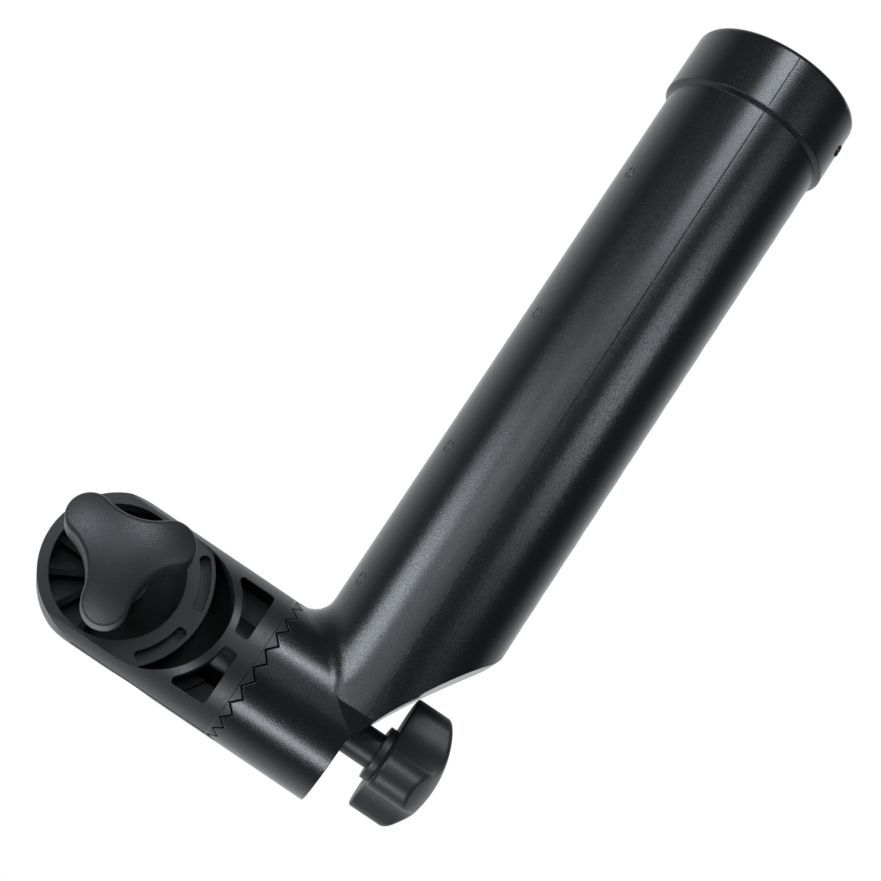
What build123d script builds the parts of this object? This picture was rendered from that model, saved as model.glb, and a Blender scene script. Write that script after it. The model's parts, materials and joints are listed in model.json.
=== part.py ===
"""Rail-clamp rod holder.

A moulded tube on an elbow holds the butt of a fishing rod. A screw clamp grips a round rail, and a ring of
face teeth lets the tube tilt against the clamp in equal steps. Two three-lobed knobs work the two screws.

Axes: +Z is up along the tube and along the rail, +X runs from the clamp bolt to the tube, and -Y is the front,
where the clamp knob is. The origin is the centre of the rail, level with the swivel axis.
"""
import math
import os

from build123d import *

os.makedirs("parts", exist_ok=True)

# Clamped rail
RAIL_R = 12.5

# Swivel axis: parallel to X, in front of the rail
SWIVEL_Y = -12.0
HUB_R = 22.3

# Face teeth between the clamp body and the tube's hub
TOOTH_COUNT = 24
TOOTH_HEIGHT = 2.5
TOOTH_INNER_R = 17.0
TOOTH_MID_X = 25.95
TOOTH_GAP = 0.6
TIP_X = TOOTH_MID_X + TOOTH_HEIGHT / 2
ROOT_X = TOOTH_MID_X - TOOTH_HEIGHT / 2

# Tube and elbow
TUBE_X = 57.6
TUBE_BOTTOM_R = 24.05
TUBE_TOP_R = 24.95
TUBE_TOP_Z = 235.3
COLLAR_R = 26.6
COLLAR_LENGTH = 21.4
COLLAR_STEP = 1.0
SOCKET_R = 21.0
SOCKET_FOOT_R = 19.2
SOCKET_LEDGE_Z = 62.0
SOCKET_FLOOR_Z = 26.0
HUB_END_X = 56.6
HUB_CORE_DEPTH = 18.5
HUB_BOSS_SETBACK = 2.2
MOUTH_RIM = 2.0
ELBOW_FILLET = 7.0

# Clamp body
BOLT_X = -20.1
BODY_END_R = 22.0
BODY_FRONT_Y = SWIVEL_Y - 10.1
BODY_BACK_Y = -3.0
FACE_END_X = -6.3
FACE_END_R = 19.6
RECESS_R = 18.8
RECESS_FLOOR_Y = -13.6
RECESS_DEEP_Y = -6.0
BOSS_R = 9.0
BOSS_TOP_Y = -19.0
RING_R = 26.6
RING_GROOVE_R = (22.4, 25.4)
RING_GROOVE_Y = -18.0
RING_GROOVE_CORNER_R = 1.2
RING_GROOVE_MIDDLE = 26.0
RING_GROOVE_ARC = 38.0
RECESS_SOLID_X = 5.0
RIB_COUNT = 12
RIB_THICKNESS = 1.8
FACE_WEB_X = 24.2
HOUSING_X = 18.6
CRESCENT_FLOOR_Y = -14.0
POCKET_LEDGE_Y = -12.5
POCKET_LEDGE = 2.9
POCKET_FLOOR_Y = -10.0
PIVOT_BOSS_R = 10.0
POCKET_CORNER_R = 1.2
POCKET_FOOT_R = 0.4
POCKET_WALL = 2.2
POCKET_RIB = 4.2
POCKET_END_X = 19.6
POCKET_HALF_WIDTH = 17.6

# Jaw
JAW_FRONT_Y = 1.0
JAW_BACK_Y = 17.5
JAW_END_R = 18.2
JAW_ARM_HALF = 17.0
JAW_END_X = 18.2
JAW_EDGE = 1.5
SLIDE_GAP = 0.4

# M8 screws, nuts and washers
THREAD_R = 3.95
HOLE_R = 4.4
NUT_BORE_R = 4.0
NUT_FLATS = 13.0
NUT_HEIGHT = 6.5
NUT_PLAY = 0.1
HEAD_HEIGHT = 5.3
HEAD_DEPTH = 6.0
CLAMP_SCREW_END_Y = 24.0
PIVOT_SCREW_END_X = 15.2
PIVOT_NUT_SEAT_X = 21.4
WASHER_R = 8.0
WASHER_BORE_R = 4.3
WASHER_THICKNESS = 1.6

# Knobs, one moulding used twice
LOBE_R = 6.5
LOBE_CENTRE_R = 13.2
WAIST_R = 9.8
KNOB_HEIGHT = 17.0
KNOB_DOME_R = 33.0
KNOB_FLANGE_R = 8.2
KNOB_FLANGE = 2.2
KNOB_SHANK_R = 5.4
KNOB_SHANK = 18.0
KNOB_TOP_EDGE = 1.5
KNOB_BASE_EDGE = 0.8
CLAMP_KNOB_TURN = 45.0
PIVOT_KNOB_TURN = 80.0

# Where the two knobs sit along their screws
CLAMP_WASHER_Y = BOSS_TOP_Y - WASHER_THICKNESS
CLAMP_KNOB_BASE_Y = CLAMP_WASHER_Y - KNOB_SHANK - KNOB_FLANGE
PIVOT_KNOB_BASE_X = TUBE_X + 11.0
PIVOT_SEAT_X = PIVOT_KNOB_BASE_X - KNOB_FLANGE - KNOB_SHANK - WASHER_THICKNESS


def swivel_plane(x):
    """Plane across the swivel axis at x, with its normal along +X."""
    return Plane(origin=(x, SWIVEL_Y, 0), x_dir=(0, 1, 0), z_dir=(1, 0, 0))


def bolt_plane(y):
    """Plane across the clamp bolt at y, with its normal along +Y and local x along +X."""
    return Plane(origin=(BOLT_X, y, 0), x_dir=(1, 0, 0), z_dir=(0, 1, 0))


def front_plane(y):
    """Plane across Y through the origin's line, with its normal along +Y and local x along +X."""
    return Plane(origin=(0, y, 0), x_dir=(1, 0, 0), z_dir=(0, 1, 0))


# One V groove of the face teeth, its apex on the swivel axis, so that flanks meet along radial lines
GROOVE_R = HUB_R + 2
GROOVE_HALF_ANGLE = math.radians(180 / TOOTH_COUNT)
GROOVE_DEPTH = TOOTH_HEIGHT / 2 * GROOVE_R / HUB_R
GROOVE_HALF = GROOVE_R * math.tan(GROOVE_HALF_ANGLE)
GROOVE_RISE = 3 * GROOVE_DEPTH
GROOVE_TOP_HALF = GROOVE_HALF * (GROOVE_DEPTH + GROOVE_RISE) / (2 * GROOVE_DEPTH)


def groove(mid_x, side):
    """V groove open towards +X when side is 1 and towards -X when side is -1, centred on the -Y direction."""
    section = Plane(origin=(mid_x, SWIVEL_Y - GROOVE_R, 0), x_dir=(1, 0, 0), z_dir=(0, -1, 0))
    with BuildPart() as tool:
        with BuildSketch(section):
            with BuildLine():
                Polyline(
                    (-side * GROOVE_DEPTH, 0),
                    (side * GROOVE_RISE, GROOVE_TOP_HALF),
                    (side * GROOVE_RISE, -GROOVE_TOP_HALF),
                    close=True,
                )
            make_face()
        loft(sections=[tool.pending_faces[0], Vertex(mid_x, SWIVEL_Y, 0)], clean=False)
    return tool.part


def groove_ring(mid_x, side, first_angle):
    """The grooves all round the swivel axis; first_angle in degrees turns the first one off the front."""
    one = groove(mid_x, side)
    axis = Axis((0, SWIVEL_Y, 0), (1, 0, 0))
    step = 360 / TOOTH_COUNT
    return [one.rotate(axis, first_angle + step * k) for k in range(TOOTH_COUNT)]


def save(part, label):
    """Names the finished piece and writes it to its own file."""
    part.label = label
    export_step(part, f"parts/{label}.step")


# Outside of the tube: a taper with a thicker collar at the mouth, closed at the bottom by a short cone
tube_axis = Axis((TUBE_X, SWIVEL_Y, 0), (0, 0, 1))
tube_section = Plane(origin=(TUBE_X, SWIVEL_Y, 0), x_dir=(1, 0, 0), z_dir=(0, -1, 0))
COLLAR_Z = TUBE_TOP_Z - COLLAR_LENGTH
CONE_TOP_Z = 3.0
CONE_BOTTOM_Z = -9.0
CONE_BOTTOM_R = 20.0
SPARE_HUB = 15.0

with BuildPart() as rod_tube:
    with BuildSketch(tube_section):
        with BuildLine():
            Polyline(
                (0, CONE_BOTTOM_Z),
                (CONE_BOTTOM_R, CONE_BOTTOM_Z),
                (TUBE_BOTTOM_R, CONE_TOP_Z),
                (TUBE_TOP_R, COLLAR_Z),
                (COLLAR_R, COLLAR_Z + COLLAR_STEP),
                (COLLAR_R, TUBE_TOP_Z),
                (0, TUBE_TOP_Z),
                close=True,
            )
        make_face()
    revolve(axis=tube_axis)

    # Sloped back of the elbow, from the hub's end face out to the tube
    with BuildSketch(tube_section):
        with BuildLine():
            slope = ThreePointArc((HUB_END_X - TUBE_X, -5.5), (8.5, 15.4), (21.7, 36.3))
            corner = TangentArc(slope @ 1, (24.5, 45), tangent=slope % 1)
            Polyline(corner @ 1, (34, 56), (34, -40), (HUB_END_X - TUBE_X, -40), slope @ 0)
        make_face()
    extrude(amount=40, both=True, mode=Mode.SUBTRACT)

    # Hub, left long so that the inside corner can be rounded before the face is cut to length
    with BuildSketch(swivel_plane(TIP_X - SPARE_HUB)):
        Circle(HUB_R)
    extrude(amount=HUB_END_X - TIP_X + SPARE_HUB)
    inside_corner = rod_tube.edges().filter_by(GeomType.BSPLINE).sort_by(SortBy.LENGTH)[-1]
    fillet(inside_corner, ELBOW_FILLET)
    mouth_rim = rod_tube.edges().filter_by(GeomType.CIRCLE).group_by(Axis.Z)[-1]
    fillet(mouth_rim, MOUTH_RIM)

    # Tooth face: cut to length, hollowed behind the tooth ring, then grooved
    with BuildSketch(swivel_plane(ROOT_X + TOOTH_GAP)):
        Circle(HUB_R + SPARE_HUB)
    extrude(amount=-2 * SPARE_HUB, mode=Mode.SUBTRACT)
    with BuildSketch(swivel_plane(ROOT_X)):
        Circle(TOOTH_INNER_R)
        Circle(BOSS_R, mode=Mode.SUBTRACT)
    extrude(amount=HUB_CORE_DEPTH, mode=Mode.SUBTRACT)
    with BuildSketch(swivel_plane(ROOT_X)):
        Circle(BOSS_R + 1)
    extrude(amount=HUB_BOSS_SETBACK, mode=Mode.SUBTRACT)
    add(groove_ring(TOOTH_MID_X + TOOTH_GAP, -1, 0), mode=Mode.SUBTRACT)

    # Screw hole, with the seat for the knob's shank and washer in the outer end
    with BuildSketch(swivel_plane(ROOT_X)):
        Circle(HOLE_R)
    extrude(amount=HUB_END_X - ROOT_X, mode=Mode.SUBTRACT)
    with BuildSketch(swivel_plane(PIVOT_SEAT_X)):
        Circle(WASHER_R + SLIDE_GAP)
    extrude(amount=PIVOT_KNOB_BASE_X - PIVOT_SEAT_X, mode=Mode.SUBTRACT)

# Socket for the rod butt: round down to a ledge, then a narrower foot whose floor follows the sloped back
with BuildPart() as socket_core:
    with BuildSketch(Plane(origin=(TUBE_X, SWIVEL_Y, SOCKET_FLOOR_Z))):
        Circle(SOCKET_FOOT_R)
    extrude(amount=SOCKET_LEDGE_Z - SOCKET_FLOOR_Z)
    with BuildSketch(Plane(origin=(TUBE_X, SWIVEL_Y, SOCKET_LEDGE_Z))):
        Circle(SOCKET_R)
    extrude(amount=TUBE_TOP_Z - SOCKET_LEDGE_Z)
    with BuildSketch(tube_section):
        with BuildLine():
            Polyline(
                (-5, SOCKET_FLOOR_Z - 5),
                (SOCKET_R + 5, SOCKET_FLOOR_Z + 32),
                (SOCKET_R + 5, 0),
                (-5, 0),
                close=True,
            )
        make_face()
    extrude(amount=SOCKET_R + 5, both=True, mode=Mode.SUBTRACT)

with BuildPart() as finished_tube:
    add(rod_tube.part)
    add(socket_core.part, mode=Mode.SUBTRACT)
save(finished_tube.part, "rod_tube")

# Clamp body: the swivel cylinder with a round end about the bolt, cut flat in front and behind
pocket_length = POCKET_HALF_WIDTH - POCKET_RIB / 2
pocket_mid = (POCKET_HALF_WIDTH + POCKET_RIB / 2) / 2


def pocket_pair(y, wall, corner_r):
    """Outlines at y of the two pockets beside the teeth, a wall's thickness from the flat face's round end."""
    pocket_x = (FACE_END_X + POCKET_END_X) / 2
    with BuildSketch(front_plane(y)) as outline:
        with Locations((pocket_x, pocket_mid), (pocket_x, -pocket_mid)):
            Rectangle(POCKET_END_X - FACE_END_X, pocket_length)
        with Locations((FACE_END_X, 0)):
            Circle(FACE_END_R + wall, mode=Mode.SUBTRACT)
        fillet(outline.vertices(), corner_r)
    return outline.sketch


# The pockets' hollow, with a ledge part way down and the pivot boss left standing in it
with BuildPart() as pockets:
    mouth = pocket_pair(SWIVEL_Y - HUB_R, POCKET_WALL, POCKET_CORNER_R)
    extrude(mouth, amount=POCKET_LEDGE_Y - SWIVEL_Y + HUB_R)
    foot = pocket_pair(POCKET_LEDGE_Y, POCKET_WALL + POCKET_LEDGE, POCKET_FOOT_R)
    extrude(foot, amount=POCKET_FLOOR_Y - POCKET_LEDGE_Y)
    with BuildSketch(swivel_plane(POCKET_END_X)):
        Circle(PIVOT_BOSS_R)
    extrude(amount=-POCKET_END_X, mode=Mode.SUBTRACT)

with BuildPart() as clamp_body:
    with BuildSketch(swivel_plane(TIP_X)):
        Circle(HUB_R)
    extrude(amount=-(TIP_X - BOLT_X + BODY_END_R))
    with BuildSketch(front_plane(SWIVEL_Y)):
        with Locations(((TIP_X + BOLT_X) / 2, 0)):
            Rectangle(TIP_X - BOLT_X, 2 * HUB_R)
        with Locations((BOLT_X, 0)):
            Circle(BODY_END_R)
    extrude(amount=HUB_R, both=True, mode=Mode.INTERSECT)

    # Flat front face, ending in a half circle where the cylinder rises again
    with BuildSketch(front_plane(BODY_FRONT_Y)):
        with Locations((FACE_END_X, 0)):
            Circle(FACE_END_R)
        with Locations((FACE_END_X - 50, 0)):
            Rectangle(100, 2 * HUB_R)
    extrude(amount=-HUB_R, mode=Mode.SUBTRACT)

    # Back: open behind the rail, up to the swivel housing
    with BuildSketch(front_plane(BODY_BACK_Y)):
        with Locations((HOUSING_X - 50, 0)):
            Rectangle(100, 3 * HUB_R)
    extrude(amount=HUB_R, mode=Mode.SUBTRACT)
    with BuildSketch(Plane.XY):
        Circle(RAIL_R)
    extrude(amount=HUB_R, both=True, mode=Mode.SUBTRACT)

    # Round recess about the knob's boss, with pockets between ribs on the end side, away from the rail
    with BuildSketch(bolt_plane(BODY_FRONT_Y)):
        Circle(RECESS_R)
    extrude(amount=BOSS_TOP_Y - BODY_FRONT_Y, mode=Mode.SUBTRACT)
    with BuildSketch(bolt_plane(BOSS_TOP_Y)):
        Circle(RECESS_R)
        Circle(BOSS_R, mode=Mode.SUBTRACT)
    extrude(amount=RECESS_FLOOR_Y - BOSS_TOP_Y, mode=Mode.SUBTRACT)
    with BuildSketch(bolt_plane(RECESS_FLOOR_Y)):
        Circle(RECESS_R)
        Circle(BOSS_R, mode=Mode.SUBTRACT)
        with Locations((RECESS_R + RECESS_SOLID_X, 0)):
            Rectangle(2 * RECESS_R, 2 * RECESS_R, mode=Mode.SUBTRACT)
        with PolarLocations(RECESS_R / 2, RIB_COUNT):
            Rectangle(RECESS_R, RIB_THICKNESS, mode=Mode.SUBTRACT)
    extrude(amount=RECESS_DEEP_Y - RECESS_FLOOR_Y, mode=Mode.SUBTRACT)
    with BuildSketch(bolt_plane(BOSS_TOP_Y)):
        Circle(HOLE_R)
    extrude(amount=BODY_BACK_Y - BOSS_TOP_Y, mode=Mode.SUBTRACT)

    # Two arc grooves in the ring beside the recess
    with BuildSketch(bolt_plane(BODY_FRONT_Y)) as ring_grooves:
        for middle in (RING_GROOVE_MIDDLE, -RING_GROOVE_MIDDLE):
            with BuildLine():
                start = middle - RING_GROOVE_ARC / 2
                inner = CenterArc((0, 0), RING_GROOVE_R[0], start, RING_GROOVE_ARC)
                outer = CenterArc((0, 0), RING_GROOVE_R[1], start, RING_GROOVE_ARC)
                Line(inner @ 0, outer @ 0)
                Line(inner @ 1, outer @ 1)
            make_face()
        fillet(ring_grooves.vertices(), RING_GROOVE_CORNER_R)
    extrude(amount=RING_GROOVE_Y - BODY_FRONT_Y, mode=Mode.SUBTRACT)

    # Crescent pocket between the ring and the end of the flat face
    with BuildSketch(front_plane(BODY_FRONT_Y)):
        with Locations((FACE_END_X, 0)):
            Circle(FACE_END_R)
        with Locations((BOLT_X, 0)):
            Circle(RING_R, mode=Mode.SUBTRACT)
    extrude(amount=CRESCENT_FLOOR_Y - BODY_FRONT_Y, mode=Mode.SUBTRACT)

    # Mirrored pair of pockets beside the teeth
    add(pockets.part, mode=Mode.SUBTRACT)

    # Slot for the pivot nut, open at the back, and the screw's hole through the tooth face
    with BuildSketch(front_plane(SWIVEL_Y)):
        with Locations((PIVOT_NUT_SEAT_X - NUT_HEIGHT / 2 - NUT_PLAY, 0)):
            Rectangle(NUT_HEIGHT + 2 * NUT_PLAY, NUT_FLATS + 2 * NUT_PLAY)
    extrude(amount=HUB_R, mode=Mode.SUBTRACT)
    with BuildSketch(swivel_plane(PIVOT_NUT_SEAT_X)):
        RegularPolygon(NUT_FLATS / 2 + NUT_PLAY, 6, major_radius=False, rotation=0)
    extrude(amount=-(NUT_HEIGHT + 2 * NUT_PLAY), mode=Mode.SUBTRACT)
    with BuildSketch(swivel_plane(PIVOT_NUT_SEAT_X)):
        Circle(HOLE_R)
    extrude(amount=TIP_X - PIVOT_NUT_SEAT_X, mode=Mode.SUBTRACT)

    # Teeth
    with BuildSketch(swivel_plane(FACE_WEB_X)):
        Circle(TOOTH_INNER_R)
    extrude(amount=TIP_X - FACE_WEB_X, mode=Mode.SUBTRACT)
    add(groove_ring(TOOTH_MID_X, 1, math.degrees(GROOVE_HALF_ANGLE)), mode=Mode.SUBTRACT)
save(clamp_body.part, "clamp_body")

# Jaw behind the rail: round about the bolt, with an arm across the rail
with BuildPart() as clamp_jaw:
    with BuildSketch(front_plane(JAW_FRONT_Y)):
        with Locations((BOLT_X, 0)):
            Circle(JAW_END_R)
        with Locations(((BOLT_X + JAW_END_X) / 2, 0)):
            Rectangle(JAW_END_X - BOLT_X, 2 * JAW_ARM_HALF)
    extrude(amount=JAW_BACK_Y - JAW_FRONT_Y)

    # Back of the arm, rounded off around the rail
    with BuildSketch(Plane.XY):
        with BuildLine():
            back = ThreePointArc((3, JAW_BACK_Y), (12.6, 13), (JAW_END_X, 5))
            Polyline(back @ 1, (JAW_END_X + 5, 5), (JAW_END_X + 5, JAW_BACK_Y + 5), (3, JAW_BACK_Y + 5), back @ 0)
        make_face()
    extrude(amount=HUB_R, both=True, mode=Mode.SUBTRACT)
    rim = clamp_jaw.edges().group_by(Axis.Y)[-1]
    fillet(rim.filter_by(GeomType.CIRCLE) + rim.filter_by(Axis.X), JAW_EDGE)

    with BuildSketch(Plane.XY):
        Circle(RAIL_R)
    extrude(amount=HUB_R, both=True, mode=Mode.SUBTRACT)
    with BuildSketch(bolt_plane(JAW_FRONT_Y)):
        Circle(HOLE_R)
    extrude(amount=JAW_BACK_Y - JAW_FRONT_Y, mode=Mode.SUBTRACT)
    with BuildSketch(bolt_plane(JAW_BACK_Y)):
        RegularPolygon(NUT_FLATS / 2 + NUT_PLAY, 6, major_radius=False)
    extrude(amount=-(NUT_HEIGHT + NUT_PLAY), mode=Mode.SUBTRACT)
save(clamp_jaw.part, "clamp_jaw")


def nut(plane):
    """Hexagon nut with its seating face on the plane and its thickness along the plane's normal."""
    with BuildPart() as piece:
        with BuildSketch(plane):
            RegularPolygon(NUT_FLATS / 2, 6, major_radius=False)
            Circle(NUT_BORE_R, mode=Mode.SUBTRACT)
        extrude(amount=NUT_HEIGHT)
        bore_edges = piece.edges().filter_by(GeomType.CIRCLE)
        chamfer(bore_edges, 0.4)
    return piece.part


def washer(plane):
    """Plain washer with one face on the plane and its thickness along the plane's normal."""
    with BuildPart() as piece:
        with BuildSketch(plane):
            Circle(WASHER_R)
            Circle(WASHER_BORE_R, mode=Mode.SUBTRACT)
        extrude(amount=WASHER_THICKNESS)
    return piece.part


def screw(plane, length):
    """Hexagon-headed screw: head on the plane's far side, thread running against its normal for length."""
    with BuildPart() as piece:
        with BuildSketch(plane):
            RegularPolygon(NUT_FLATS / 2, 6, major_radius=False)
        extrude(amount=HEAD_HEIGHT)
        with BuildSketch(plane):
            Circle(THREAD_R)
        extrude(amount=-length)
        tip = piece.edges().filter_by(GeomType.CIRCLE).sort_by_distance(plane.origin)[-1]
        chamfer(tip, 0.8)
    return piece.part


# Outline of the knob: three round lobes joined by tangent hollows
HOLLOW_R = (LOBE_R**2 - LOBE_CENTRE_R**2 - WAIST_R**2 + LOBE_CENTRE_R * WAIST_R) / (
    2 * WAIST_R - LOBE_CENTRE_R - 2 * LOBE_R
)


def polar(radius, degrees):
    """Point at a radius and angle in a sketch."""
    return (radius * math.cos(math.radians(degrees)), radius * math.sin(math.radians(degrees)))


def between(start, end, share):
    """Point a share of the way from start to end."""
    return (start[0] + (end[0] - start[0]) * share, start[1] + (end[1] - start[1]) * share)


def knob(plane, turn):
    """Three-lobed knob with its flat base on the plane and its domed top along the normal."""
    share = LOBE_R / (LOBE_R + HOLLOW_R)
    hollow_centre_r = WAIST_R + HOLLOW_R
    with BuildPart() as piece:
        with BuildSketch(plane):
            with BuildLine():
                for lobe in (turn, turn + 120, turn + 240):
                    centre = polar(LOBE_CENTRE_R, lobe)
                    before = between(centre, polar(hollow_centre_r, lobe - 60), share)
                    after = between(centre, polar(hollow_centre_r, lobe + 60), share)
                    next_lobe = polar(LOBE_CENTRE_R, lobe + 120)
                    next_before = between(next_lobe, polar(hollow_centre_r, lobe + 60), share)
                    ThreePointArc(before, polar(LOBE_CENTRE_R + LOBE_R, lobe), after)
                    ThreePointArc(after, polar(WAIST_R, lobe + 60), next_before)
            make_face()
        extrude(amount=KNOB_HEIGHT)
        with Locations(plane.offset(KNOB_HEIGHT - KNOB_DOME_R).location):
            Sphere(KNOB_DOME_R, rotation=(0, 90, 0), mode=Mode.INTERSECT)
        fillet(piece.faces().sort_by_distance(plane.offset(KNOB_HEIGHT).origin)[0].edges(), KNOB_TOP_EDGE)
        fillet(piece.faces().sort_by_distance(plane.origin)[0].edges(), KNOB_BASE_EDGE)

        # Flange and shank towards the washer
        with BuildSketch(plane):
            Circle(KNOB_FLANGE_R)
        extrude(amount=-KNOB_FLANGE)
        with BuildSketch(plane.offset(-KNOB_FLANGE)):
            Circle(KNOB_SHANK_R)
        extrude(amount=-KNOB_SHANK)

        # Room for the moulded-in screw
        with BuildSketch(plane.offset(HEAD_DEPTH)):
            RegularPolygon(NUT_FLATS / 2 + NUT_PLAY / 2, 6, major_radius=False)
        extrude(amount=HEAD_HEIGHT + NUT_PLAY / 2, mode=Mode.SUBTRACT)
        with BuildSketch(plane.offset(HEAD_DEPTH)):
            Circle(NUT_BORE_R)
        extrude(amount=-(HEAD_DEPTH + KNOB_FLANGE + KNOB_SHANK), mode=Mode.SUBTRACT)
    return piece.part


# Clamp screw, worked by the front knob
clamp_knob_plane = Plane(origin=(BOLT_X, CLAMP_KNOB_BASE_Y, 0), x_dir=(1, 0, 0), z_dir=(0, -1, 0))
clamp_head_plane = clamp_knob_plane.offset(HEAD_DEPTH)
save(knob(clamp_knob_plane, CLAMP_KNOB_TURN), "clamp_knob")
save(screw(clamp_head_plane, CLAMP_SCREW_END_Y - clamp_head_plane.origin.Y), "clamp_screw")
save(washer(bolt_plane(CLAMP_WASHER_Y)), "clamp_washer")
save(nut(bolt_plane(JAW_BACK_Y - NUT_HEIGHT)), "jaw_nut")

# Pivot screw, worked by the side knob
pivot_knob_plane = swivel_plane(PIVOT_KNOB_BASE_X)
pivot_head_plane = pivot_knob_plane.offset(HEAD_DEPTH)
save(knob(pivot_knob_plane, PIVOT_KNOB_TURN), "pivot_knob")
save(screw(pivot_head_plane, pivot_head_plane.origin.X - PIVOT_SCREW_END_X), "pivot_screw")
save(washer(swivel_plane(PIVOT_SEAT_X)), "pivot_washer")
save(nut(swivel_plane(PIVOT_NUT_SEAT_X - NUT_PLAY / 2 - NUT_HEIGHT)), "pivot_nut")
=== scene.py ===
"""Looks for the rail-clamp rod holder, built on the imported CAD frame.

The CAD nodes carry the shapes. This script gives them moulded-plastic and steel materials, cuts real threads
into the screws, and adds the fine marks of moulding: parting lines, ejector marks and the gate mark.
Lengths are in metres, in the CAD frame: +Z along the tube, +X from the clamp bolt to the tube, -Y the front.
"""
import json
import math

import bpy
from mathutils import Matrix, Vector
from mathutils.bvhtree import BVHTree


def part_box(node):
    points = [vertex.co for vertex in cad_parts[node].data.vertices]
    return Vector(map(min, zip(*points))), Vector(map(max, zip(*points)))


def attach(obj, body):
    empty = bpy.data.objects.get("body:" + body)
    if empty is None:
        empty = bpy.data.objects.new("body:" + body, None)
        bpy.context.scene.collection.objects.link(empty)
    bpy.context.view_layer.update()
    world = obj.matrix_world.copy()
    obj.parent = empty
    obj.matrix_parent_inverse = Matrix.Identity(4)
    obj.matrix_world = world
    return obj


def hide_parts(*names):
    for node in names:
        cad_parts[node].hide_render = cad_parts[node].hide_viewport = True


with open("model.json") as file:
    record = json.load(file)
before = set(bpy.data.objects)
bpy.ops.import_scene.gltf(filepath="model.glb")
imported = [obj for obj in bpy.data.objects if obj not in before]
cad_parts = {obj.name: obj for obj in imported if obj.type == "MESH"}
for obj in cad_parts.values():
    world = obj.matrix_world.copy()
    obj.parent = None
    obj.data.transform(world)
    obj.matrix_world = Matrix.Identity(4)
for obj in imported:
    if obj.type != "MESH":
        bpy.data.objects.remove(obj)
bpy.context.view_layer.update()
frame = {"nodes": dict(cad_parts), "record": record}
NODES = frame["nodes"]
MM = 0.001

# ---------------------------------------------------------------------------
# Materials
# ---------------------------------------------------------------------------

# Noise scales shared by the plastics, per metre
FLOW_SCALE = 30
PATCH_SCALE = 240
SPECK_FINENESS = 3.1

# Recess floors of the clamp body: where they lie along Y, their matte finish, and the near-black shade
# painted on them
RECESS_FLOOR_Y = -13.8 * MM
SHADE_AND_MATTE_REACH = 0.7 * MM
PAINTED_SHADE_COLOR = (0.003, 0.003, 0.003)
MATTE_ROUGHNESS = 0.9


def new_node(tree, kind, **values):
    """Adds a shader node; values are its properties where it has them, and its input sockets otherwise."""
    node = tree.nodes.new(kind)
    for key, value in values.items():
        if hasattr(node, key):
            setattr(node, key, value)
        else:
            node.inputs[key.replace("_", " ").title()].default_value = value
    return node


def noise(tree, coordinates, scale, detail=2.0, roughness=0.5, stretch=None):
    """Noise texture in object coordinates; stretch scales the axes apart for brushed or drawn looks."""
    source = coordinates
    if stretch:
        mapping = new_node(tree, "ShaderNodeMapping")
        mapping.inputs["Scale"].default_value = stretch
        tree.links.new(coordinates, mapping.inputs["Vector"])
        source = mapping.outputs["Vector"]
    node = new_node(tree, "ShaderNodeTexNoise", scale=scale, detail=detail, roughness=roughness)
    tree.links.new(source, node.inputs["Vector"])
    return node.outputs["Fac"]


def remap(tree, value, from_range, to_range):
    """Value remapped from one range to another, clamped."""
    node = new_node(tree, "ShaderNodeMapRange", clamp=True)
    for socket, number in zip(("From Min", "From Max", "To Min", "To Max"), (*from_range, *to_range)):
        node.inputs[socket].default_value = number
    tree.links.new(value, node.inputs["Value"])
    return node.outputs["Result"]


def mix_color(tree, share, low, high):
    """Colour between low and high by share; low may be a colour or a socket."""
    node = new_node(tree, "ShaderNodeMix", data_type="RGBA")
    tree.links.new(share, node.inputs["Factor"])
    if isinstance(low, bpy.types.NodeSocket):
        tree.links.new(low, node.inputs[6])
    else:
        node.inputs[6].default_value = (*low, 1)
    node.inputs[7].default_value = (*high, 1)
    return node.outputs[2]


def edge_mask(tree, radius, start, end):
    """1 on edges and corners within radius, 0 on open faces: where a rounded normal leaves the true one."""
    rounded = new_node(tree, "ShaderNodeBevel", samples=6, radius=radius)
    true_normal = new_node(tree, "ShaderNodeNewGeometry").outputs["Normal"]
    dot = new_node(tree, "ShaderNodeVectorMath", operation="DOT_PRODUCT")
    tree.links.new(rounded.outputs["Normal"], dot.inputs[0])
    tree.links.new(true_normal, dot.inputs[1])
    return remap(tree, dot.outputs["Value"], (end, start), (1.0, 0.0))


def bumped(tree, height, strength, distance, normal=None):
    """Normal from a height map over an optional first normal."""
    node = new_node(tree, "ShaderNodeBump", strength=strength, distance=distance)
    tree.links.new(height, node.inputs["Height"])
    if normal is not None:
        tree.links.new(normal, node.inputs["Normal"])
    return node.outputs["Normal"]


def at_depth(tree, where, depth, reach):
    """1 within reach of a depth along Y, 0 elsewhere."""
    split = new_node(tree, "ShaderNodeSeparateXYZ")
    tree.links.new(where, split.inputs[0])
    near = new_node(tree, "ShaderNodeMath", operation="COMPARE")
    tree.links.new(split.outputs["Y"], near.inputs[0])
    near.inputs[1].default_value = depth
    near.inputs[2].default_value = reach
    return near.outputs[0]


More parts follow.
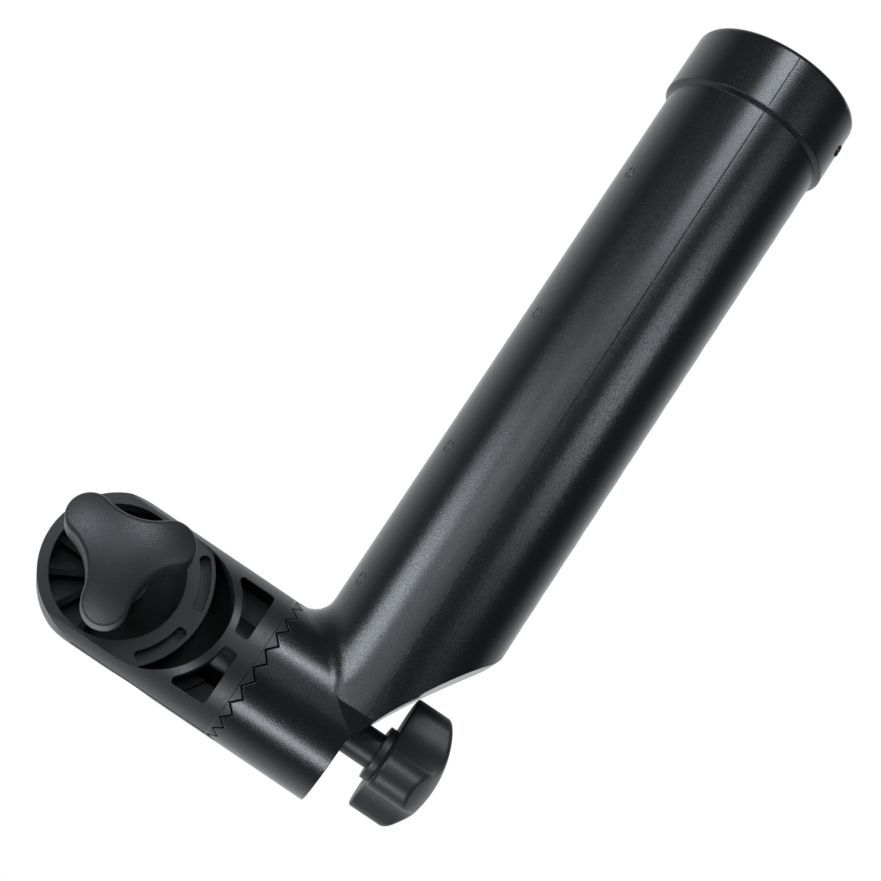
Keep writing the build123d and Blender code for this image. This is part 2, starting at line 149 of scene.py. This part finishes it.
def moulded_plastic(name, color, worn, roughness, grain_scale, grain_depth, edge_radius, shade_and_matte_depth=None):
    """Moulded plastic: fine pebbled grain, faint flow marks, soft edges that are a little paler where rubbed.

    Floors at the depth given by the last argument along Y are matte, with shade painted on them in
    near-black.
    """
    material = bpy.data.materials.new(name)
    material.use_nodes = True
    tree = material.node_tree
    shader = tree.nodes["Principled BSDF"]
    where = new_node(tree, "ShaderNodeTexCoord").outputs["Object"]
    flow = noise(tree, where, FLOW_SCALE, detail=2)
    patches = noise(tree, where, PATCH_SCALE, detail=3)
    pebbles = noise(tree, where, grain_scale, detail=2, roughness=0.55)
    specks = noise(tree, where, SPECK_FINENESS * grain_scale, detail=1)

    deep = tuple(0.8 * c for c in color)
    tone = mix_color(tree, remap(tree, flow, (0.3, 0.7), (0, 1)), deep, color)
    rubbed = new_node(tree, "ShaderNodeMath", operation="MULTIPLY")
    tree.links.new(edge_mask(tree, edge_radius, 0.985, 0.8), rubbed.inputs[0])
    tree.links.new(remap(tree, patches, (0.35, 0.65), (0.15, 0.6)), rubbed.inputs[1])
    paint = mix_color(tree, rubbed.outputs[0], tone, worn)
    gloss = remap(tree, pebbles, (0.3, 0.7), (roughness - 0.04, roughness + 0.06))
    # Painted shade: the recess floors get a near-black colour as well as a matte roughness
    if shade_and_matte_depth is not None:
        shaded_matte_floors = at_depth(tree, where, shade_and_matte_depth, SHADE_AND_MATTE_REACH)
        paint = mix_color(tree, shaded_matte_floors, paint, PAINTED_SHADE_COLOR)
        matte = new_node(tree, "ShaderNodeMath", operation="MULTIPLY_ADD")
        tree.links.new(shaded_matte_floors, matte.inputs[0])
        matte.inputs[1].default_value = MATTE_ROUGHNESS - roughness
        tree.links.new(gloss, matte.inputs[2])
        gloss = matte.outputs[0]
    tree.links.new(paint, shader.inputs["Base Color"])
    tree.links.new(gloss, shader.inputs["Roughness"])
    soft_edges = new_node(tree, "ShaderNodeBevel", samples=6, radius=edge_radius).outputs["Normal"]
    grain = bumped(tree, pebbles, 1.0, grain_depth, soft_edges)
    tree.links.new(bumped(tree, specks, 0.5, grain_depth * 0.5, grain), shader.inputs["Normal"])
    return material


def plated_steel(name, color, stretch):
    """Zinc-plated steel: turned grain across the given axis scales, dull patches and bright edges."""
    material = bpy.data.materials.new(name)
    material.use_nodes = True
    tree = material.node_tree
    shader = tree.nodes["Principled BSDF"]
    shader.inputs["Metallic"].default_value = 1.0
    where = new_node(tree, "ShaderNodeTexCoord").outputs["Object"]
    turned = noise(tree, where, 900, detail=3, stretch=stretch)
    patches = noise(tree, where, 220, detail=4, roughness=0.65)
    dull = tuple(0.6 * c for c in color)
    tone = mix_color(tree, remap(tree, patches, (0.35, 0.7), (0, 1)), dull, color)
    bright = tuple(min(1.0, 1.25 * c) for c in color)
    edges = edge_mask(tree, 0.3 * MM, 0.98, 0.8)
    tree.links.new(mix_color(tree, edges, tone, bright), shader.inputs["Base Color"])
    tree.links.new(remap(tree, patches, (0.3, 0.7), (0.24, 0.42)), shader.inputs["Roughness"])
    soft_edges = new_node(tree, "ShaderNodeBevel", samples=6, radius=0.2 * MM).outputs["Normal"]
    tree.links.new(bumped(tree, turned, 0.5, 0.01 * MM, soft_edges), shader.inputs["Normal"])
    return material


tube_plastic = moulded_plastic(
    "tube_plastic", (0.0085, 0.0083, 0.0098), (0.040, 0.040, 0.044), 0.24, 2400, 0.022 * MM, 0.45 * MM
)
# The clamp's recess floors get painted shade in near-black and a matte roughness
clamp_plastic = moulded_plastic(
    "clamp_plastic", (0.0150, 0.0150, 0.0154), (0.070, 0.071, 0.073), 0.40, 2000, 0.034 * MM, 0.30 * MM,
    RECESS_FLOOR_Y,
)
knob_plastic = moulded_plastic(
    "knob_plastic", (0.0210, 0.0218, 0.0240), (0.060, 0.062, 0.066), 0.42, 2000, 0.040 * MM, 0.30 * MM
)
fine_plastic = moulded_plastic(
    "fine_plastic", (0.0075, 0.0075, 0.0085), (0.030, 0.030, 0.033), 0.22, 2300, 0.010 * MM, 0.02 * MM
)
steel = plated_steel("steel", (0.52, 0.52, 0.53), (1, 14, 1))

MATERIALS = {
    "tube_plastic": tube_plastic,
    "clamp_plastic": clamp_plastic,
    "knob_plastic": knob_plastic,
    "steel": steel,
}
for part in frame["record"]["subparts"]:
    mesh = NODES[part["node"]].data
    mesh.materials.clear()
    mesh.materials.append(MATERIALS[part["material_slot"]])


# ---------------------------------------------------------------------------
# Helpers for the pieces added here
# ---------------------------------------------------------------------------


def piece(name, points, faces, body, slot, material=None):
    """A mesh piece that rides on a CAD body and takes its finish from a material slot."""
    mesh = bpy.data.meshes.new(name)
    mesh.from_pydata(points, [], faces)
    mesh.validate()
    mesh.materials.append(material or MATERIALS[slot])
    made = bpy.data.objects.new(name, mesh)
    bpy.context.scene.collection.objects.link(made)
    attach(made, body)
    return made


def surface_of(node):
    """Search tree over a CAD node's surface."""
    mesh = NODES[node].data
    return BVHTree.FromPolygons([v.co for v in mesh.vertices], [p.vertices for p in mesh.polygons])


def landed(surface, starts, direction):
    """Where rays from the starts along a direction meet the surface: (point, outward normal) pairs."""
    found = []
    for start in starts:
        way = direction(start) if callable(direction) else direction
        point, normal, _, _ = surface.ray_cast(Vector(start), Vector(way).normalized())
        if point is not None:
            found.append((point, normal if normal.dot(way) < 0 else -normal))
    return found


# Section of a ridge, across in half widths and up in heights, and its height at an open end
END_TAPER = 0.2
RIDGE_PROFILE = ((-1.0, -0.3), (-0.08, 0.95), (0.08, 0.95), (1.0, -0.3))


def ridge(name, line, width, height, body, slot, closed=False):
    """A fine raised line of moulded plastic along surface points, tapered to nothing at open ends."""
    points = []
    count = len(line)
    for index, (point, normal) in enumerate(line):
        before = line[(index - 1) % count if closed else max(index - 1, 0)][0]
        after = line[(index + 1) % count if closed else min(index + 1, count - 1)][0]
        side = (after - before).cross(normal).normalized()
        taper = 1.0 if closed or 0 < index < count - 1 else END_TAPER
        for across, up in RIDGE_PROFILE:
            points.append(point + side * across * width / 2 + normal * up * height * taper)
    size = len(RIDGE_PROFILE)
    faces = []
    for index in range(count if closed else count - 1):
        here, there = index * size, (index + 1) % count * size
        faces += [(here + k, here + k + 1, there + k + 1, there + k) for k in range(size - 1)]
    return piece(name, points, faces, body, slot, material=fine_plastic)


def steps(start, end, count):
    """Evenly spaced numbers from start to end, both included."""
    return [start + (end - start) * k / (count - 1) for k in range(count)]


# ---------------------------------------------------------------------------
# Marks of moulding on the tube
# ---------------------------------------------------------------------------

tube_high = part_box("rod_tube")[1]
body_low, body_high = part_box("clamp_body")
HUB_R = (body_high.z - body_low.z) / 2
SWIVEL_Y = body_low.y + HUB_R
TUBE_X = frame["record"]["mounts"][1]["pos_m"][0]
MOUTH_Z = tube_high.z
tube_surface = surface_of("rod_tube")

# Parting lines down the front of the tube, over the collar and the hub, and down its back
PARTING_TOP_Z = MOUTH_Z - 0.9 * MM
PARTING_FRONT_LOW_Z = -19.5 * MM
PARTING_BACK_LOW_Z = 44 * MM
PARTING_WIDTH = 0.42 * MM
PARTING_HEIGHT = 0.13 * MM
RAY_START_Y = 0.1


def parting_line(name, start_y, low_z, count):
    """A fine line down the tube, found by rays along Y from start_y."""
    starts = [(TUBE_X, start_y, z) for z in steps(PARTING_TOP_Z, low_z, count)]
    line = landed(tube_surface, starts, (0, -start_y, 0))
    ridge(name, line, PARTING_WIDTH, PARTING_HEIGHT, "tube", "tube_plastic")


parting_line("parting_line_front", -RAY_START_Y, PARTING_FRONT_LOW_Z, 260)
parting_line("parting_line_back", RAY_START_Y, PARTING_BACK_LOW_Z, 200)

RING_POINTS = 24
RING_SQUASH = 0.75
RING_RAY = 50 * MM


def small_ring(name, degrees, height_mm, radius, width, height):
    """A small raised ring on the tube, at an angle from the front towards +X and a height in millimetres."""
    angle = math.radians(degrees)
    inward = Vector((-math.sin(angle), math.cos(angle), 0)).normalized()
    across = inward.cross(Vector((0, 0, 1))).normalized()
    centre = Vector((TUBE_X, SWIVEL_Y, height_mm * MM))
    starts = []
    for turn in map(math.radians, steps(0, 360, RING_POINTS + 1)[:-1]):
        offset = across * math.cos(turn) * RING_SQUASH + Vector((0, 0, 1)) * math.sin(turn)
        starts.append(centre + offset * radius - inward * RING_RAY)
    ridge(name, landed(tube_surface, starts, inward), width, height, "tube", "tube_plastic", closed=True)


# Ejector marks in a row down the left flank, and the gate mark on the collar
EJECTOR_HEIGHTS_MM = (36.0, 81.5, 129.0, 180.5)
EJECTOR_DEGREES = -64
GATE_HEIGHT_MM = 225.5
GATE_DEGREES = 76
for number, height_mm in enumerate(EJECTOR_HEIGHTS_MM, 1):
    small_ring(f"ejector_mark_{number}", EJECTOR_DEGREES, height_mm, 2.0 * MM, 0.36 * MM, 0.12 * MM)
small_ring("gate_mark", GATE_DEGREES, GATE_HEIGHT_MM, 1.8 * MM, 0.8 * MM, 0.45 * MM)

# Fine line round the clamp body where the roots of its teeth end
ROOT_LINE_X = body_high.x - 2.75 * MM
ROOT_LINE_POINTS = 144
ROOT_LINE_WIDTH = 0.30 * MM
ROOT_LINE_HEIGHT = 0.07 * MM


def towards_axis(start):
    """Direction from a point straight to the swivel axis."""
    return (0, SWIVEL_Y - start[1], -start[2])


root_angles = [2 * math.pi * k / ROOT_LINE_POINTS for k in range(ROOT_LINE_POINTS)]
around = [(ROOT_LINE_X, SWIVEL_Y - 2 * HUB_R * math.cos(a), 2 * HUB_R * math.sin(a)) for a in root_angles]
root_line = landed(surface_of("clamp_body"), around, towards_axis)
ridge("tooth_root_line", root_line, ROOT_LINE_WIDTH, ROOT_LINE_HEIGHT, "clamp", "clamp_plastic", closed=True)

# ---------------------------------------------------------------------------
# Screws with real threads
# ---------------------------------------------------------------------------

PITCH = 1.25 * MM
THREAD_R = 3.95 * MM
THREAD_DEPTH = 0.65 * MM
HEX_HALF = 6.5 * MM
HEAD_HEIGHT = 5.3 * MM
HEAD_CHAMFER = 0.6 * MM
HEAD_FACE_R = 6.3 * MM
HEAD_CORNER_R = 7.6 * MM
TIP_CHAMFER = 1.0 * MM
THREAD_RUN_IN = 0.1 * MM
CLAMP_PLAIN = 34 * MM
PIVOT_PLAIN = 30 * MM
SEGMENTS = 48
RINGS_PER_TURN = 10


def hexagon(angle, half=HEX_HALF):
    """Radius of a hexagon with that half width across flats, at an angle."""
    sixth = math.pi / 3
    return half / math.cos((angle + sixth / 2) % sixth - sixth / 2)


def lathe(name, origin, axis, rings, body, slot):
    """A closed solid from rings along an axis: each ring is (distance, radius as a function of angle)."""
    axis = Vector(axis).normalized()
    side = axis.cross(Vector((0, 0, 1))).normalized()
    up = side.cross(axis)
    angles = [2 * math.pi * k / SEGMENTS for k in range(SEGMENTS)]
    points = []
    for distance, radius in rings:
        for angle in angles:
            reach = side * math.cos(angle) + up * math.sin(angle)
            points.append(Vector(origin) + axis * distance + reach * radius(angle))
    faces = [tuple(range(SEGMENTS - 1, -1, -1))]
    for index in range(len(rings) - 1):
        here, there = index * SEGMENTS, (index + 1) * SEGMENTS
        for k in range(SEGMENTS):
            after = (k + 1) % SEGMENTS
            faces.append((here + k, here + after, there + after, there + k))
    last = (len(rings) - 1) * SEGMENTS
    faces.append(tuple(range(last, last + SEGMENTS)))
    return piece(name, points, faces, body, slot)


def threaded_screw(name, node, origin, axis, length, plain, body):
    """Hexagon-headed screw from its head's far face: head, plain shank, helical thread and chamfer."""

    def round_of(radius):
        return lambda angle: radius

    def head_of(limit):
        return lambda angle: min(hexagon(angle), limit)

    def thread_at(distance):
        def radius(angle):
            phase = (distance / PITCH + angle / (2 * math.pi)) % 1
            depth = THREAD_DEPTH * abs(2 * phase - 1)
            chamfer = max(0.0, distance - (length - TIP_CHAMFER))
            return min(THREAD_R - depth, THREAD_R - chamfer)
        return radius

    rings = [(0, head_of(HEAD_FACE_R)), (HEAD_CHAMFER, head_of(HEAD_CORNER_R))]
    rings += [(HEAD_HEIGHT, head_of(HEAD_CORNER_R)), (HEAD_HEIGHT, round_of(THREAD_R))]
    rings += [(plain, round_of(THREAD_R))]
    count = round((length - plain) / PITCH * RINGS_PER_TURN)
    rings += [(d, thread_at(d)) for d in steps(plain + THREAD_RUN_IN, length, count)]
    made = lathe(name, origin, axis, rings, body, "steel")
    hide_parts(node)


clamp_low, clamp_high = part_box("clamp_screw")
clamp_bolt = ((clamp_low.x + clamp_high.x) / 2, clamp_low.y, 0)
threaded_screw(
    "clamp_screw_threaded", "clamp_screw", clamp_bolt, (0, 1, 0),
    clamp_high.y - clamp_low.y, CLAMP_PLAIN, "clamp_knob",
)
pivot_low, pivot_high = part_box("pivot_screw")
threaded_screw(
    "pivot_screw_threaded", "pivot_screw", (pivot_high.x, SWIVEL_Y, 0), (-1, 0, 0),
    pivot_high.x - pivot_low.x, PIVOT_PLAIN, "pivot_knob",
)

# ---------------------------------------------------------------------------
# Studio: pale floor, soft boxes, camera at the product's three-quarter view from below
# ---------------------------------------------------------------------------

scene = bpy.context.scene
scene.view_settings.view_transform = "Standard"

FLOOR_Z = -0.30
FLOOR_RADIUS = 60.0
FLOOR_GLOW = 0.7

floor_material = bpy.data.materials.new("floor")
floor_material.use_nodes = True
floor_inputs = floor_material.node_tree.nodes["Principled BSDF"].inputs
floor_inputs["Base Color"].default_value = (0.86, 0.86, 0.86, 1)
floor_inputs["Roughness"].default_value = 0.9
floor_inputs["Emission Color"].default_value = (1, 1, 1, 1)
floor_inputs["Emission Strength"].default_value = FLOOR_GLOW
bpy.ops.mesh.primitive_circle_add(
    vertices=96, radius=FLOOR_RADIUS, fill_type="NGON", location=(0, 0, FLOOR_Z)
)
floor = bpy.context.object
floor.name = "floor"
floor.data.materials.append(floor_material)
# The floor is a backdrop only: it neither shades the object nor shows in its gloss
floor.visible_diffuse = False
floor.visible_glossy = False
floor.visible_shadow = False

# World: white to the camera; as light it is bright behind the object and dim in front
BEHIND = (-0.18, 0.98, 0)
DIM = 0.06
BRIGHT = 1.0
BRIGHT_FROM = 0.65

world = bpy.data.worlds.new("studio")
scene.world = world
world.use_nodes = True
tree = world.node_tree
seen = tree.nodes["Background"]
seen.inputs["Color"].default_value = (1, 1, 1, 1)
seen.inputs["Strength"].default_value = 1.0
lighting = new_node(tree, "ShaderNodeBackground")
lighting.inputs["Color"].default_value = (0.94, 0.97, 1, 1)
direction = new_node(tree, "ShaderNodeTexCoord").outputs["Generated"]
depth = new_node(tree, "ShaderNodeVectorMath", operation="DOT_PRODUCT")
depth.inputs[1].default_value = BEHIND
tree.links.new(direction, depth.inputs[0])
strength = remap(tree, depth.outputs["Value"], (0.0, BRIGHT_FROM), (DIM, BRIGHT))
tree.links.new(strength, lighting.inputs["Strength"])
chosen = new_node(tree, "ShaderNodeMixShader")
is_camera = new_node(tree, "ShaderNodeLightPath").outputs["Is Camera Ray"]
tree.links.new(is_camera, chosen.inputs[0])
tree.links.new(lighting.outputs[0], chosen.inputs[1])
tree.links.new(seen.outputs[0], chosen.inputs[2])
tree.links.new(chosen.outputs[0], tree.nodes["World Output"].inputs["Surface"])


BOX_COLOR = (0.88, 0.94, 1.0)


def soft_box(name, aim, azimuth, elevation, distance, width, height, radiance):
    """Rectangular area light facing a point; azimuth is from the front towards +X, both angles in degrees."""
    data = bpy.data.lights.new(name, "AREA")
    data.shape = "RECTANGLE"
    data.size = width
    data.size_y = height
    data.energy = radiance * math.pi * width * height
    data.color = BOX_COLOR
    lamp = bpy.data.objects.new(name, data)
    scene.collection.objects.link(lamp)
    turn, lift = math.radians(azimuth), math.radians(elevation)
    away = Vector((math.sin(turn) * math.cos(lift), -math.cos(turn) * math.cos(lift), math.sin(lift)))
    lamp.location = Vector(aim) + away * distance
    lamp.rotation_mode = "QUATERNION"
    lamp.rotation_quaternion = away.to_track_quat("Z", "Y")
    lamp.visible_camera = False


def on_tube(height_mm):
    """Point on the tube's axis."""
    return (TUBE_X, SWIVEL_Y, height_mm * MM)


ON_HUB = (38 * MM, SWIVEL_Y, 0)
soft_box("left_box", on_tube(45), -52, 9.0, 1.3, 0.54, 0.20, 14)
soft_box("middle_box", on_tube(95), -26, 14.5, 1.3, 0.40, 0.12, 4.5)
soft_box("right_box", on_tube(128), 46, 18.2, 1.3, 0.60, 0.08, 14)
soft_box("upper_box", on_tube(208), -6, 28, 1.3, 0.52, 0.30, 9)
soft_box("hub_box", ON_HUB, 0, 40, 1.45, 0.5, 0.20, 10)
soft_box("low_box", ON_HUB, 2, -64, 1.0, 0.6, 0.20, 13)
soft_box("fill_box", ON_HUB, -24, 7, 1.6, 1.45, 0.75, 1.55)

# Camera: below and in front of the object, rolled so that the tube leans to the right
CAMERA_PLACE = (0.0190, -0.7082, -0.1023)
CAMERA_RIGHT = Vector((0.8274, -0.1612, 0.5380))
CAMERA_UP = Vector((-0.5613, -0.2037, 0.8022))
CAMERA_SENSOR = 36
CAMERA_LENS = 103.09
camera_data = bpy.data.cameras.new("camera")
camera_data.sensor_width = CAMERA_SENSOR
camera_data.lens = CAMERA_LENS
camera_data.clip_start = 0.01
camera = bpy.data.objects.new("camera", camera_data)
scene.collection.objects.link(camera)
back_axis = CAMERA_RIGHT.cross(CAMERA_UP).normalized()
up_axis = back_axis.cross(CAMERA_RIGHT).normalized()
stance = Matrix((CAMERA_RIGHT.normalized(), up_axis, back_axis)).transposed().to_4x4()
camera.matrix_world = Matrix.Translation(CAMERA_PLACE) @ stance
scene.camera = camera
